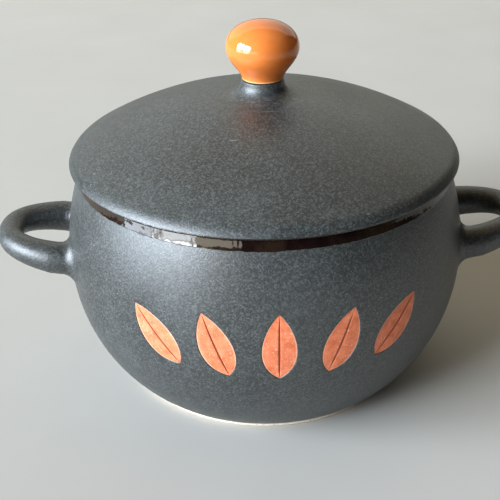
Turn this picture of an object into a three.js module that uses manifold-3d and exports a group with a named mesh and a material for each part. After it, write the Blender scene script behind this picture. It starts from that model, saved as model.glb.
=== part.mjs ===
// A lidded stoneware soup bowl: a round-bellied bowl with two loop handles luted to its sides,
// a loose domed lid with a ball knob, and leaf-shaped colour inlays let into the front of the belly.
// Millimetres, +Z up. The foot stands on z = 0, the handles lie along X and the inlays face -Y.

import * as THREE from 'three';
import { mergeVertices } from 'three/addons/utils/BufferGeometryUtils.js';
import Module from 'manifold-3d';

const { degToRad } = THREE.MathUtils;

// Bowl
const FOOT_RADIUS = 52.7;
const FOOT_RING_WIDTH = 7;
const FOOT_HEIGHT = 1.6;
const FOOT_EDGE = 0.5;
const FOOT_STEP = 0.6;
const BASE_RECESS = 1.5;
const FLOOR_THICKNESS = 5.5;
const FLOOR_FLAT_RADIUS = 34;
const WALL = 5;
const BELLY_RADIUS = 74;
const BELLY_HEIGHT = 50;
const BELLY_SWEEP = degToRad(54);
const SHOULDER_RADIUS = 88;
const RIM_HEIGHT = 85.6;

// Handles
const HANDLE_REACH = 26.8;
const HANDLE_SPAN = 36.5;
const HANDLE_HEIGHT = 53.4;
const HANDLE_TILT = degToRad(9.3);
const HANDLE_TIP_THICKNESS = 9.2;
const HANDLE_ROOT_THICKNESS = 13.8;
const HANDLE_ROOT_FLARE = 3;
const HANDLE_FLARE_LENGTH = 8;
const HANDLE_INSET = 10;
const HANDLE_SQUARENESS = 0.84;

// Lid
const LID_OVERHANG = 3.4;
const LID_RISE = 22.6;
const LID_WALL = 5;
const LIP_ROUNDING = 8;
const LIP_LEAN = degToRad(28);
const LIP_EDGE = 0.8;
const FLANGE_DEPTH = 6;
const FLANGE_WIDTH = 4;
const NECK_RADIUS = 7.7;
const NECK_FLARE = 7.4;
const NECK_HEIGHT = 5.4;

// Knob
const KNOB_RADIUS = 13.05;
const KNOB_HEIGHT = 20.5;
const KNOB_BASE_RADIUS = 7.5;
const KNOB_WIDEST = 11.2;
const KNOB_BASE_SPREAD = 0.5;
const KNOB_BASE_PULL = 0.31;
const KNOB_FLANK_PULL = 0.4;
const KNOB_TOP_FULLNESS = 0.6;

// Leaf inlays
const LEAF_COUNT = 5;
const LEAF_LENGTH = 25;
const LEAF_WIDTH = 11.5;
const LEAF_STEM_FULLNESS = 1.45;
const LEAF_STEM_PULL = 0.6;
const LEAF_TIP_FULLNESS = 1.2;
const LEAF_TIP_PULL = 0.4;
const LEAF_SPACING = degToRad(16.5);
const LEAF_LEAN = degToRad(20);
const LEAF_BAND_HEIGHT = 48;
const LEAF_RECESS = 0.2;
const POCKET_DEPTH = 1.2;
const LEAF_BAR_REACH = 15;

// Clearances: luted and set-in pieces, the lid on its rim, and the lid's side play in the mouth
const JOINT_GAP = 0.3;
const SEAT_GAP = 0.3;
const LID_PLAY = 1.6;

// Facets
const ROUND_STEPS = 60;
const ARC_STEPS = 3;
const KNOB_ROUND_STEPS = 36;
const KNOB_ARC_STEPS = 7;
const HANDLE_STEPS = 22;
const HANDLE_SIDES = 12;
const LEAF_STEPS = 6;
const WELD = 1e-4;

// Finishes
const MATTE_GLAZE = new THREE.MeshStandardMaterial({ color: '#3a3d3f', roughness: 0.5, metalness: 0 });
const ORANGE_GLAZE = new THREE.MeshStandardMaterial({ color: '#e8782f', roughness: 0.12, metalness: 0 });
const ORANGE_FILL = new THREE.MeshStandardMaterial({ color: '#e5794c', roughness: 0.7, metalness: 0 });

const wasm = await Module();
wasm.setup();

// A closed geometry as a solid. Its corners are welded, and slivers that the weld leaves at the axis are dropped.
function solid(geometry) {
  const bare = geometry.clone();
  bare.deleteAttribute('normal');
  bare.deleteAttribute('uv');
  const welded = mergeVertices(bare, WELD);
  const corners = welded.index.array;
  const triangles = [];
  for (let i = 0; i < corners.length; i += 3) {
    const [a, b, c] = corners.slice(i, i + 3);
    if (a !== b && b !== c && c !== a) triangles.push(a, b, c);
  }
  return new wasm.Manifold(new wasm.Mesh({
    numProp: 3,
    vertProperties: welded.attributes.position.array,
    triVerts: new Uint32Array(triangles),
  }));
}

// A solid turned about Z from a half section that runs from the axis, out and up, back to the axis.
function turned(section, roundSteps = ROUND_STEPS, arcSteps = ARC_STEPS) {
  const points = section.getPoints(arcSteps);
  const distinct = points.filter((point, i) => i === 0 || point.distanceTo(points[i - 1]) > WELD);
  return solid(new THREE.LatheGeometry(distinct, roundSteps).rotateX(Math.PI / 2));
}

// A named piece of the object.
function piece(name, shape, material) {
  const { vertProperties, triVerts } = shape.getMesh();
  const geometry = new THREE.BufferGeometry();
  geometry.setAttribute('position', new THREE.BufferAttribute(vertProperties, 3));
  geometry.setIndex(new THREE.BufferAttribute(triVerts, 1));
  geometry.computeVertexNormals();
  const mesh = new THREE.Mesh(geometry, material);
  mesh.name = name;
  return mesh;
}

// The belly's outer wall: a stretch of an ellipse from the foot up to the widest ring, then a circular shoulder.
const BELLY_HALF_WIDTH = (BELLY_RADIUS - FOOT_RADIUS - FOOT_STEP) / (1 - Math.cos(BELLY_SWEEP));
const BELLY_HALF_HEIGHT = (BELLY_HEIGHT - FOOT_HEIGHT) / Math.sin(BELLY_SWEEP);
const BELLY_AXIS = BELLY_RADIUS - BELLY_HALF_WIDTH;
const SHOULDER_AXIS = BELLY_RADIUS - SHOULDER_RADIUS;
const RIM_ROUNDING = WALL / 2;
const SHOULDER_SWEEP = Math.asin((RIM_HEIGHT - RIM_ROUNDING - BELLY_HEIGHT) / SHOULDER_RADIUS);
const RIM_OUTER = SHOULDER_AXIS + SHOULDER_RADIUS * Math.cos(SHOULDER_SWEEP);
const RIM_INNER = RIM_OUTER - WALL;
const FLOOR_HEIGHT = BASE_RECESS + FLOOR_THICKNESS;

// Adds the outer wall, moved outwards by grow, to a half section.
function addWall(section, grow) {
  const [halfWidth, halfHeight] = [BELLY_HALF_WIDTH + grow, BELLY_HALF_HEIGHT + grow];
  section.absellipse(BELLY_AXIS, BELLY_HEIGHT, halfWidth, halfHeight, -BELLY_SWEEP, 0);
  section.absarc(SHOULDER_AXIS, BELLY_HEIGHT, SHOULDER_RADIUS + grow, 0, SHOULDER_SWEEP);
}

// The belly without its hollow, moved outwards by grow: what the handles and inlays are fitted to.
function bellyCore(grow) {
  const section = new THREE.Path();
  section.moveTo(0, FOOT_HEIGHT);
  section.lineTo(BELLY_AXIS, FOOT_HEIGHT);
  addWall(section, grow);
  section.lineTo(0, RIM_HEIGHT);
  return turned(section);
}

function bowlShell() {
  const recessRadius = FOOT_RADIUS - FOOT_RING_WIDTH;
  const section = new THREE.Path();
  section.moveTo(0, BASE_RECESS);
  section.lineTo(recessRadius - BASE_RECESS, BASE_RECESS);
  section.lineTo(recessRadius, 0);
  section.lineTo(FOOT_RADIUS - FOOT_EDGE, 0);
  section.lineTo(FOOT_RADIUS, FOOT_EDGE);
  section.lineTo(FOOT_RADIUS, FOOT_HEIGHT);
  addWall(section, 0);
  section.absarc(RIM_OUTER - RIM_ROUNDING, RIM_HEIGHT - RIM_ROUNDING, RIM_ROUNDING, 0, Math.PI);
  const innerSweep = Math.acos((RIM_INNER - SHOULDER_AXIS) / (SHOULDER_RADIUS - WALL));
  section.absarc(SHOULDER_AXIS, BELLY_HEIGHT, SHOULDER_RADIUS - WALL, innerSweep, 0, true);
  const hollowWidth = BELLY_RADIUS - WALL - FLOOR_FLAT_RADIUS;
  const hollowDepth = BELLY_HEIGHT - FLOOR_HEIGHT;
  section.absellipse(FLOOR_FLAT_RADIUS, BELLY_HEIGHT, hollowWidth, hollowDepth, 0, -Math.PI / 2, true);
  section.lineTo(0, FLOOR_HEIGHT);
  return turned(section);
}

// A leaf outline standing on its stem end, widened all round by grow.
function leafShape(grow) {
  const halfLength = LEAF_LENGTH / 2 + grow;
  const halfWidth = LEAF_WIDTH / 2 + grow;
  const stem = new THREE.Vector2(halfWidth * LEAF_STEM_FULLNESS, -halfLength * LEAF_STEM_PULL);
  const tip = new THREE.Vector2(halfWidth * LEAF_TIP_FULLNESS, halfLength * LEAF_TIP_PULL);
  const shape = new THREE.Shape();
  shape.moveTo(0, -halfLength);
  shape.bezierCurveTo(stem.x, stem.y, tip.x, tip.y, 0, halfLength);
  shape.bezierCurveTo(-tip.x, tip.y, -stem.x, stem.y, 0, -halfLength);
  return shape;
}

// A leaf-shaped bar that runs radially through the front wall, at its place in the fan of leaves.
function leafBar(place, grow) {
  const bar = new THREE.ExtrudeGeometry(leafShape(grow), {
    depth: 2 * LEAF_BAR_REACH,
    curveSegments: LEAF_STEPS,
    bevelEnabled: false,
  });
  const bearing = place * LEAF_SPACING - Math.PI / 2;
  const outward = new THREE.Vector3(Math.cos(bearing), Math.sin(bearing), 0);
  const up = new THREE.Vector3(0, 0, 1);
  const across = new THREE.Vector3().crossVectors(up, outward);
  const start = outward.clone().multiplyScalar(BELLY_RADIUS - LEAF_BAR_REACH).setZ(LEAF_BAND_HEIGHT);
  bar.rotateZ(-place * LEAF_LEAN);
  bar.applyMatrix4(new THREE.Matrix4().makeBasis(across, up, outward).setPosition(start));
  return solid(bar);
}

// The bowl with a shallow pocket for each leaf.
function bowlWithPockets(places) {
  const pocketFloor = bellyCore(-POCKET_DEPTH);
  return places.reduce((bowl, place) => {
    const cutter = leafBar(place, JOINT_GAP).subtract(pocketFloor);
    return bowl.subtract(cutter);
  }, bowlShell());
}

// The glaze fill of one leaf, a little below the wall's surface.
function leafInlay(place) {
  const face = bellyCore(-LEAF_RECESS);
  const back = bellyCore(JOINT_GAP - POCKET_DEPTH);
  return leafBar(place, 0).intersect(face).subtract(back);
}

// The centre line of a handle in its own plane: a squared half ellipse from one root, round the tip, to the other.
class HandleLoop extends THREE.Curve {
  constructor(reach, halfSpan) {
    super();
    this.reach = reach;
    this.halfSpan = halfSpan;
  }

  getPoint(t, target = new THREE.Vector3()) {
    const turn = (t - 0.5) * Math.PI;
    const out = Math.abs(Math.cos(turn)) ** HANDLE_SQUARENESS;
    const side = Math.sign(turn) * Math.abs(Math.sin(turn)) ** HANDLE_SQUARENESS;
    return target.set(this.reach * out, this.halfSpan * side, 0);
  }
}

// A loop handle: a round bar that tapers from its roots to its tip and flares where it meets the belly.
function handle(bearing) {
  const loop = new HandleLoop(HANDLE_INSET + HANDLE_REACH - HANDLE_TIP_THICKNESS / 2, HANDLE_SPAN / 2);
  const tipRadius = HANDLE_TIP_THICKNESS / 2;
  const bar = new THREE.ExtrudeGeometry(new THREE.Shape().absarc(0, 0, tipRadius, 0, 2 * Math.PI), {
    extrudePath: loop,
    steps: HANDLE_STEPS,
    curveSegments: HANDLE_SIDES / 2,
  });
  const rings = loop.getSpacedPoints(HANDLE_STEPS);
  const corners = bar.attributes.position;
  const corner = new THREE.Vector3();
  for (let i = 0; i < corners.count; i += 1) {
    corner.fromBufferAttribute(corners, i);
    const ring = rings.reduce((best, next) => (next.distanceTo(corner) < best.distanceTo(corner) ? next : best));
    const out = ring.x / loop.reach;
    const flare = Math.max(0, 1 - (ring.x - HANDLE_INSET) / HANDLE_FLARE_LENGTH) ** 2;
    const thickness = THREE.MathUtils.lerp(HANDLE_ROOT_THICKNESS, HANDLE_TIP_THICKNESS, out);
    const swell = (thickness + HANDLE_ROOT_FLARE * Math.min(flare, 1)) / HANDLE_TIP_THICKNESS;
    corner.sub(ring).multiplyScalar(swell).add(ring);
    corners.setXYZ(i, corner.x, corner.y, corner.z);
  }
  bar.translate(-HANDLE_INSET, 0, 0);
  bar.rotateY(-HANDLE_TILT);
  bar.translate(BELLY_RADIUS, 0, HANDLE_HEIGHT);
  bar.rotateZ(bearing);
  return solid(bar).subtract(bellyCore(JOINT_GAP));
}

// Lid: a spherical dome that rolls over into a broad lip, with a locating flange below and a flared neck on top.
const SEAT_HEIGHT = RIM_HEIGHT + SEAT_GAP;
const LID_RADIUS = RIM_OUTER + LID_OVERHANG;
const LID_TOP = SEAT_HEIGHT + LID_RISE;
const LIP_CORNER = new THREE.Vector2(LID_RADIUS - LIP_EDGE, SEAT_HEIGHT + LIP_EDGE);
const LIP_AXIS = LIP_CORNER.x - (LIP_ROUNDING - LIP_EDGE) * Math.cos(LIP_LEAN);
const LIP_HEIGHT = LIP_CORNER.y - (LIP_ROUNDING - LIP_EDGE) * Math.sin(LIP_LEAN);
const DOME_DROP = LID_TOP - LIP_HEIGHT;
const DOME_RADIUS = (LIP_AXIS ** 2 + DOME_DROP ** 2 - LIP_ROUNDING ** 2) / (2 * (DOME_DROP - LIP_ROUNDING));
const DOME_CENTRE = LID_TOP - DOME_RADIUS;
const FLANGE_OUTER = RIM_INNER - LID_PLAY;
const FLANGE_INNER = FLANGE_OUTER - FLANGE_WIDTH;
const NECK_TOP = LID_TOP + NECK_HEIGHT;

function lid() {
  const inside = DOME_RADIUS - LID_WALL;
  const flangeAngle = Math.acos(FLANGE_INNER / inside);
  const lipAngle = Math.atan2(LIP_HEIGHT - DOME_CENTRE, LIP_AXIS);
  const neckFoot = NECK_RADIUS + NECK_FLARE;
  const neckAngle = Math.acos(neckFoot / DOME_RADIUS);
  const neckRise = NECK_TOP - DOME_CENTRE - DOME_RADIUS * Math.sin(neckAngle);
  const section = new THREE.Path();
  section.moveTo(0, DOME_CENTRE + inside);
  section.absarc(0, DOME_CENTRE, inside, Math.PI / 2, flangeAngle, true);
  section.lineTo(FLANGE_INNER, SEAT_HEIGHT - FLANGE_DEPTH);
  section.lineTo(FLANGE_OUTER, SEAT_HEIGHT - FLANGE_DEPTH);
  section.lineTo(FLANGE_OUTER, SEAT_HEIGHT);
  section.absarc(LIP_CORNER.x, LIP_CORNER.y, LIP_EDGE, -Math.PI / 2, LIP_LEAN);
  section.absarc(LIP_AXIS, LIP_HEIGHT, LIP_ROUNDING, LIP_LEAN, lipAngle);
  section.absarc(0, DOME_CENTRE, DOME_RADIUS, lipAngle, neckAngle);
  section.absellipse(neckFoot, NECK_TOP, NECK_FLARE, neckRise, -Math.PI / 2, -Math.PI, true);
  section.lineTo(0, NECK_TOP);
  return turned(section);
}

// Knob: a ball with a flattened top that draws in to a narrow base on the lid's neck.
function knob() {
  const base = NECK_TOP + JOINT_GAP;
  const widest = base + KNOB_WIDEST;
  const section = new THREE.Path();
  section.moveTo(0, base);
  section.lineTo(KNOB_BASE_RADIUS, base);
  section.bezierCurveTo(
    KNOB_BASE_RADIUS + KNOB_BASE_SPREAD, base + KNOB_WIDEST * KNOB_BASE_PULL,
    KNOB_RADIUS, widest - KNOB_WIDEST * KNOB_FLANK_PULL,
    KNOB_RADIUS, widest,
  );
  const top = base + KNOB_HEIGHT;
  section.bezierCurveTo(
    KNOB_RADIUS, widest + (top - widest) * KNOB_TOP_FULLNESS,
    KNOB_RADIUS * KNOB_TOP_FULLNESS, top,
    0, top,
  );
  return turned(section, KNOB_ROUND_STEPS, KNOB_ARC_STEPS);
}

const leafPlaces = Array.from({ length: LEAF_COUNT }, (_, i) => i - (LEAF_COUNT - 1) / 2);

const soupBowl = new THREE.Group();
soupBowl.add(piece('bowl', bowlWithPockets(leafPlaces), MATTE_GLAZE));
soupBowl.add(piece('handle_right', handle(0), MATTE_GLAZE));
soupBowl.add(piece('handle_left', handle(Math.PI), MATTE_GLAZE));
leafPlaces.forEach((place, i) => {
  soupBowl.add(piece(`leaf_inlay_${i + 1}`, leafInlay(place), ORANGE_FILL));
});
soupBowl.add(piece('lid', lid(), MATTE_GLAZE));
soupBowl.add(piece('knob', knob(), ORANGE_GLAZE));

export default soupBowl;
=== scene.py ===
"""A lidded stoneware soup bowl, dressed for the camera.

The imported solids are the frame. Every piece is modelled again as a fine mesh in the same place: the bowl
with its glossy rim and bare foot ring, two luted loop handles, five leaf inlays, and the loose domed lid with
its ball knob. Metres, +Z up, the handles along X and the inlays facing -Y.
"""

import logging
import math
from collections.abc import Callable, Sequence
from dataclasses import dataclass
from enum import Enum

import bmesh
import bpy
from mathutils import Matrix, Vector


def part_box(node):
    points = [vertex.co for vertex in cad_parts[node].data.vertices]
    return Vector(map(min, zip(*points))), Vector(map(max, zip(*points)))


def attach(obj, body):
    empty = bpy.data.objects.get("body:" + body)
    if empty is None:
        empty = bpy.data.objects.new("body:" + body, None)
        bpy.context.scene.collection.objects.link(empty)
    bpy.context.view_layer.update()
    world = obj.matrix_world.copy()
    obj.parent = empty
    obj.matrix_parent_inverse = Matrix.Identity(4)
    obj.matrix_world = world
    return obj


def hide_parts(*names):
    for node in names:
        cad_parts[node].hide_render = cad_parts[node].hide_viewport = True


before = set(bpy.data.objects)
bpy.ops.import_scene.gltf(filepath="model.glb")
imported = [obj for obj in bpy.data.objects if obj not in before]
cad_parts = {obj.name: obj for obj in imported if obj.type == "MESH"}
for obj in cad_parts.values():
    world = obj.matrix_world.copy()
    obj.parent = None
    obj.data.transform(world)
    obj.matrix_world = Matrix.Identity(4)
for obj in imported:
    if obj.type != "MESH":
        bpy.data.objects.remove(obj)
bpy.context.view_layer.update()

MM = 0.001
WELD = 1e-6
SHARP_ANGLE = math.radians(40)
IMAGE_SIDE = 500
SENSOR_WIDTH = 36.0
LEAF_CHART = "leaf_chart"
LOG = logging.getLogger("soup_bowl")

# Most of a noise texture's values lie between these two, and its blobs are about half as large as its cells.
NOISE_LOW, NOISE_HIGH = 0.3, 0.7
BLOB_SHARE = 0.5

# Mix and Map Range have several sockets of one name, so theirs are taken by number.
MIX_COLOUR = {"data_type": "RGBA"}
MIX_SHARE = 0
FLOAT_A, FLOAT_B = 2, 3
COLOUR_A, COLOUR_B, COLOUR_OUT = 6, 7, 2
VALUE, FROM_MIN, FROM_MAX, TO_MIN, TO_MAX = range(5)


class Body(Enum):
    """The two bodies that come apart."""

    BOWL = "bowl"
    LID = "lid"


class Slot(Enum):
    """The record's material slots."""

    MATTE_BLACK = "matte_black_glaze"
    ORANGE_GLOSS = "orange_gloss_glaze"
    ORANGE_INLAY = "orange_inlay_glaze"


class LidZone(Enum):
    """The zones of the lid that have their own finish, as the number of the material."""

    OUTSIDE = 0
    UNDER_DOME = 1
    FLANGE_RING = 2


class Side(Enum):
    """The side of the bowl that a handle is luted to, as its bearing about Z."""

    RIGHT = 0.0
    LEFT = math.pi


def linear(hex_colour: str) -> tuple[float, float, float, float]:
    """Turns an sRGB hex colour into linear red, green, blue and alpha.

    Args:
        hex_colour: the colour, such as "#3a3d3f".

    Returns:
        The four linear values.
    """
    shares = [int(hex_colour[i:i + 2], 16) / 255 for i in (1, 3, 5)]
    red, green, blue = (s / 12.92 if s <= 0.04045 else ((s + 0.055) / 1.055) ** 2.4 for s in shares)
    return red, green, blue, 1.0


def heading(bearing: float, elevation: float) -> Vector:
    """Gives the direction from the bowl towards a lamp or the camera.

    Args:
        bearing: the angle round from the front, positive towards +X.
        elevation: the angle up from level.

    Returns:
        The direction, of length 1.
    """
    level = Vector((math.sin(bearing), -math.cos(bearing), 0.0)) * math.cos(elevation)
    return level + Vector((0.0, 0.0, math.sin(elevation)))


def add_node(tree: bpy.types.NodeTree, kind: str, settings: dict | None = None,
             inputs: dict | None = None) -> bpy.types.Node:
    """Adds one shader node.

    Args:
        tree: the node tree to add it to.
        kind: the node's type, without its ShaderNode prefix.
        settings: properties of the node, by name.
        inputs: numbers, colours or sockets for its inputs, by socket name or number.

    Returns:
        The new node.
    """
    node = tree.nodes.new(f"ShaderNode{kind}")
    for name, value in (settings or {}).items():
        setattr(node, name, value)
    for key, value in (inputs or {}).items():
        if isinstance(value, bpy.types.NodeSocket):
            tree.links.new(value, node.inputs[key])
        else:
            node.inputs[key].default_value = value
    return node


@dataclass(frozen=True)
class Surface:
    """What a finish gives the eye: colour, roughness, height in metres and refractive index."""

    colour: bpy.types.NodeSocket
    roughness: bpy.types.NodeSocket
    height: bpy.types.NodeSocket
    ior: bpy.types.NodeSocket | float


def lay_over(tree: bpy.types.NodeTree, under: Surface, over: Surface, mask: bpy.types.NodeSocket) -> Surface:
    """Lays one finish over another.

    Args:
        tree: the material's node tree.
        under: the finish that shows where the mask is 0.
        over: the finish that shows where the mask is 1.
        mask: the share of the upper finish.

    Returns:
        The two finishes as one.
    """
    colour = add_node(tree, "Mix", MIX_COLOUR, {
        MIX_SHARE: mask, COLOUR_A: under.colour, COLOUR_B: over.colour,
    })
    roughness = add_node(tree, "Mix", None, {
        MIX_SHARE: mask, FLOAT_A: under.roughness, FLOAT_B: over.roughness,
    })
    height = add_node(tree, "Mix", None, {MIX_SHARE: mask, FLOAT_A: under.height, FLOAT_B: over.height})
    ior = add_node(tree, "Mix", None, {MIX_SHARE: mask, FLOAT_A: under.ior, FLOAT_B: over.ior})
    return Surface(colour.outputs[COLOUR_OUT], roughness.outputs[0], height.outputs[0], ior.outputs[0])


class Finish:
    """A finish that draws its surface in a shader tree, from the piece's Object coordinates."""

    ior: float = 1.5

    def draw(self, tree: bpy.types.NodeTree, place: bpy.types.NodeSocket) -> Surface:
        """Draws the surface, which each finish does in its own way."""
        raise NotImplementedError

    def material(self, name: str) -> bpy.types.Material:
        """Makes the material.

        Args:
            name: the material's name.

        Returns:
            A material with one shader for the whole surface.
        """
        material = bpy.data.materials.new(name)
        material.use_nodes = True
        tree = material.node_tree
        tree.nodes.clear()
        place = add_node(tree, "TexCoord").outputs["Object"]
        surface = self.draw(tree, place)
        bump = add_node(tree, "Bump", None, {"Strength": 1.0, "Distance": 1.0, "Height": surface.height})
        shader = add_node(tree, "BsdfPrincipled", None, {
            "Base Color": surface.colour,
            "Roughness": surface.roughness,
            "IOR": surface.ior,
            "Normal": bump.outputs["Normal"],
        })
        add_node(tree, "OutputMaterial", None, {"Surface": shader.outputs["BSDF"]})
        return material


@dataclass(frozen=True)
class SatinGlaze(Finish):
    """Matte black stoneware glaze: fine crystals give it a grain, with cloudy tone, pale flecks and scuffs.

    Real crystals are finer. These are about a pixel wide from the photograph's viewpoint, so that they show.
    """

    deep: str = "#1a1c1b"
    pale: str = "#535756"
    fleck: str = "#8b9092"
    scuff: str = "#a9abaa"
    grain_size: float = 0.6 * MM
    grain_depth: float = 0.07 * MM
    crystal_size: float = 0.45 * MM
    crystal_rarity: float = 2.0
    cloud_size: float = 24 * MM
    cloud_share: float = 0.2
    fleck_spacing: float = 4.5 * MM
    fleck_size: float = 0.35 * MM
    fleck_strength: float = 0.22
    scuff_length: float = 9 * MM
    scuff_width: float = 0.45 * MM
    scuff_range: tuple[float, float] = (0.86, 0.90)
    scuff_strength: float = 0.4
    scuff_slant: tuple[float, float, float] = (math.radians(20), math.radians(35), math.radians(50))
    smooth: float = 0.38
    rough: float = 0.50
    ior: float = 1.7

    def draw(self, tree: bpy.types.NodeTree, place: bpy.types.NodeSocket) -> Surface:
        """Draws the glaze.

        Args:
            tree: the material's node tree.
            place: the piece's Object coordinates.

        Returns:
            The glaze as a surface.
        """
        grain = add_node(tree, "TexNoise", None, {
            "Vector": place, "Scale": 1 / self.grain_size, "Detail": 2.0, "Roughness": 0.6,
        }).outputs["Fac"]
        cloud = add_node(tree, "TexNoise", None, {
            "Vector": place, "Scale": 1 / self.cloud_size, "Detail": 4.0, "Roughness": 0.55,
        }).outputs["Fac"]
        cells = add_node(tree, "TexVoronoi", None, {"Vector": place, "Scale": 1 / self.crystal_size})
        crystal = add_node(tree, "SeparateColor", None, {0: cells.outputs["Color"]}).outputs[0]
        crystal = add_node(tree, "Math", {"operation": "POWER"}, {
            0: crystal, 1: self.crystal_rarity,
        }).outputs[0]
        cloudy = add_node(tree, "MapRange", None, {
            VALUE: cloud, FROM_MIN: NOISE_LOW, FROM_MAX: NOISE_HIGH,
        }).outputs[0]
        tone = add_node(tree, "Mix", None, {
            MIX_SHARE: self.cloud_share, FLOAT_A: crystal, FLOAT_B: cloudy,
        }).outputs[0]
        colour = add_node(tree, "Mix", MIX_COLOUR, {
            MIX_SHARE: tone, COLOUR_A: linear(self.deep), COLOUR_B: linear(self.pale),
        }).outputs[COLOUR_OUT]
        dots = add_node(tree, "TexVoronoi", None, {"Vector": place, "Scale": 1 / self.fleck_spacing})
        reach = self.fleck_size / self.fleck_spacing
        dots = add_node(tree, "MapRange", None, {
            VALUE: dots.outputs["Distance"],
            FROM_MIN: reach, FROM_MAX: reach / 2, TO_MAX: self.fleck_strength,
        })
        colour = add_node(tree, "Mix", MIX_COLOUR, {
            MIX_SHARE: dots.outputs[0], COLOUR_A: colour, COLOUR_B: linear(self.fleck),
        }).outputs[COLOUR_OUT]
        colour = add_node(tree, "Mix", MIX_COLOUR, {
            MIX_SHARE: self.scuffs(tree, place), COLOUR_A: colour, COLOUR_B: linear(self.scuff),
        }).outputs[COLOUR_OUT]
        roughness = add_node(tree, "MapRange", None, {
            VALUE: cloud, FROM_MIN: NOISE_LOW, FROM_MAX: NOISE_HIGH, TO_MIN: self.smooth, TO_MAX: self.rough,
        })
        height = add_node(tree, "Math", {"operation": "MULTIPLY"}, {0: grain, 1: self.grain_depth})
        return Surface(colour, roughness.outputs[0], height.outputs[0], self.ior)

    def scuffs(self, tree: bpy.types.NodeTree, place: bpy.types.NodeSocket) -> bpy.types.NodeSocket:
        """Draws a few short pale hairlines, where the glaze was rubbed.

        Args:
            tree: the material's node tree.
            place: the piece's Object coordinates.

        Returns:
            The scuffs' share of the colour.
        """
        slant = add_node(tree, "Mapping", None, {
            "Vector": place,
            "Rotation": self.scuff_slant,
            "Scale": (1 / self.scuff_length, 1 / self.scuff_width, 1 / self.scuff_width),
        })
        streak = add_node(tree, "TexNoise", None, {
            "Vector": slant.outputs[0], "Scale": BLOB_SHARE, "Detail": 0.0,
        })
        faint, full = self.scuff_range
        return add_node(tree, "MapRange", None, {
            VALUE: streak.outputs["Fac"], FROM_MIN: faint, FROM_MAX: full, TO_MAX: self.scuff_strength,
        }).outputs[0]


@dataclass(frozen=True)
class GlossGlaze(Finish):
    """Glossy stoneware glaze, fired to glass: a deep colour that pools and thins, with a ripple in the sheen.

    The run is how many times longer its pools and ripples are down the wall than round it.
    """

    deep: str = "#170c0b"
    thin: str = "#2e2016"
    pool_size: float = 16 * MM
    pool_range: tuple[float, float] = (0.35, 0.7)
    ripple_size: float = 7 * MM
    ripple_depth: float = 0.03 * MM
    run: float = 1.0
    smooth: float = 0.06
    rough: float = 0.12
    ior: float = 1.5

    def draw(self, tree: bpy.types.NodeTree, place: bpy.types.NodeSocket) -> Surface:
        """Draws the glaze.

        Args:
            tree: the material's node tree.
            place: the piece's Object coordinates.

        Returns:
            The glaze as a surface.
        """
        stretch = (1.0, 1.0, 1 / self.run)
        drawn_down = add_node(tree, "Mapping", None, {"Vector": place, "Scale": stretch}).outputs[0]
        pools = add_node(tree, "TexNoise", None, {
            "Vector": drawn_down, "Scale": 1 / self.pool_size, "Detail": 3.0, "Roughness": 0.6,
        }).outputs["Fac"]
        deepest, thinnest = self.pool_range
        share = add_node(tree, "MapRange", None, {
            VALUE: pools, FROM_MIN: deepest, FROM_MAX: thinnest,
        }).outputs[0]
        colour = add_node(tree, "Mix", MIX_COLOUR, {
            MIX_SHARE: share, COLOUR_A: linear(self.deep), COLOUR_B: linear(self.thin),
        })
        roughness = add_node(tree, "MapRange", None, {
            VALUE: pools, FROM_MIN: NOISE_LOW, FROM_MAX: NOISE_HIGH, TO_MIN: self.smooth, TO_MAX: self.rough,
        })
        ripple = add_node(tree, "TexNoise", None, {
            "Vector": drawn_down, "Scale": 1 / self.ripple_size, "Detail": 1.0,
        })
        height = add_node(tree, "Math", {"operation": "MULTIPLY"}, {
            0: ripple.outputs["Fac"], 1: self.ripple_depth,
        })
        return Surface(colour.outputs[COLOUR_OUT], roughness.outputs[0], height.outputs[0], self.ior)


@dataclass(frozen=True)
class BareClay(Finish):
    """Unglazed fired stoneware: pale cream, dry to the touch and gritty."""

    body: str = "#ddd2c0"
    grit: str = "#b09d86"
    grit_size: float = 0.9 * MM
    grit_depth: float = 0.12 * MM
    grit_range: tuple[float, float] = (0.45, 0.75)
    smooth: float = 0.75
    rough: float = 0.95

    def draw(self, tree: bpy.types.NodeTree, place: bpy.types.NodeSocket) -> Surface:
        """Draws the clay.

        Args:
            tree: the material's node tree.
            place: the piece's Object coordinates.

        Returns:
            The clay as a surface.
        """
        grit = add_node(tree, "TexNoise", None, {
            "Vector": place, "Scale": 1 / self.grit_size, "Detail": 3.0, "Roughness": 0.7,
        }).outputs["Fac"]
        plain, gritty = self.grit_range
        share = add_node(tree, "MapRange", None, {VALUE: grit, FROM_MIN: plain, FROM_MAX: gritty}).outputs[0]
        colour = add_node(tree, "Mix", MIX_COLOUR, {
            MIX_SHARE: share, COLOUR_A: linear(self.body), COLOUR_B: linear(self.grit),
        })
        roughness = add_node(tree, "MapRange", None, {VALUE: grit, TO_MIN: self.smooth, TO_MAX: self.rough})
        height = add_node(tree, "Math", {"operation": "MULTIPLY"}, {0: grit, 1: self.grit_depth})
        return Surface(colour.outputs[COLOUR_OUT], roughness.outputs[0], height.outputs[0], self.ior)


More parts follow.
